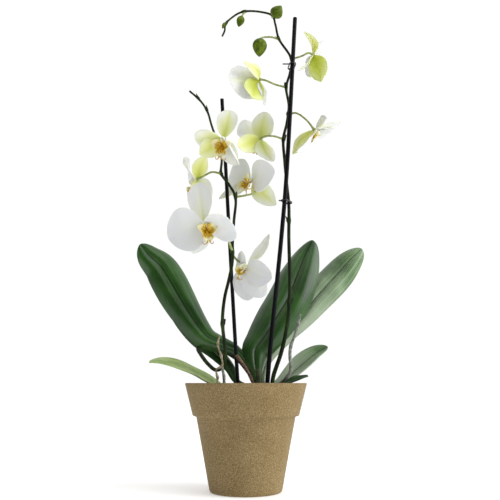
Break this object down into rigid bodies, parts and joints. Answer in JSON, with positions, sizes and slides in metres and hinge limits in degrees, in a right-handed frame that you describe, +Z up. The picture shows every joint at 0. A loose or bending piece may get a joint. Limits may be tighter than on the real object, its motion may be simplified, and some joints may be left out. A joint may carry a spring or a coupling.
{
  "type": "potted orchid",
  "caption": "Potted moth orchid: arching flower spikes tied to thin stakes, with open white blooms, buds, strap leaves and aerial roots, in a tapered pot filled with bark.",
  "frame": {"origin": "middle of the pot's foot, on the surface that it stands on", "axes": "+Z up, the viewer of the picture stands on the -Y side and looks towards +Y, +X to the viewer's right"},
  "size_m": [0.2686, 0.1507, 0.553],
  "materials": {
    "pot_fibre": "matte pressed wood fibre with a fine speckle",
    "bark": "rough, matte",
    "stake": "satin",
    "crown": "satin, waxy",
    "flower_stem": "satin",
    "leaf": "satin, waxy, with fine veins along it",
    "young_leaf": "satin, waxy",
    "root": "matte, silvery",
    "dry_root": "matte",
    "dry_sheath": "matte, dry",
    "clip": "satin",
    "petal": "soft, slightly translucent",
    "lip": "waxy, with red-brown marks"
  },
  "bodies": {
    "root": {"pot": "pot_fibre", "bark": "bark", "stake_1": "stake", "stake_2": "stake", "crown": "crown", "spike_1": "flower_stem", "spike_2": "flower_stem", "leaf_left_upper": "leaf", "leaf_left_lower": "leaf", "leaf_right_upper": "leaf", "leaf_right_lower": "leaf", "leaf_right_small": "leaf", "leaf_left_young": "young_leaf", "leaf_right_young": "leaf", "aerial_root_right": "root", "aerial_root_front": "dry_root", "aerial_root_left": "root", "dry_sheath": "dry_sheath", "clip_lower": "clip", "clip_upper": "clip", "bloom_1": "petal", "bloom_1_lip": "lip", "bloom_2": "petal", "bloom_2_lip": "lip", "bloom_3": "petal", "bloom_3_lip": "lip", "bloom_4": "petal", "bloom_4_lip": "lip", "bloom_5": "petal", "bloom_5_lip": "lip", "bloom_6": "petal", "bloom_6_lip": "lip", "bloom_7": "petal", "bloom_7_lip": "lip", "bloom_8": "petal", "bloom_8_lip": "lip", "bloom_9": "petal", "bloom_9_lip": "lip"}
  },
  "joints": []
}
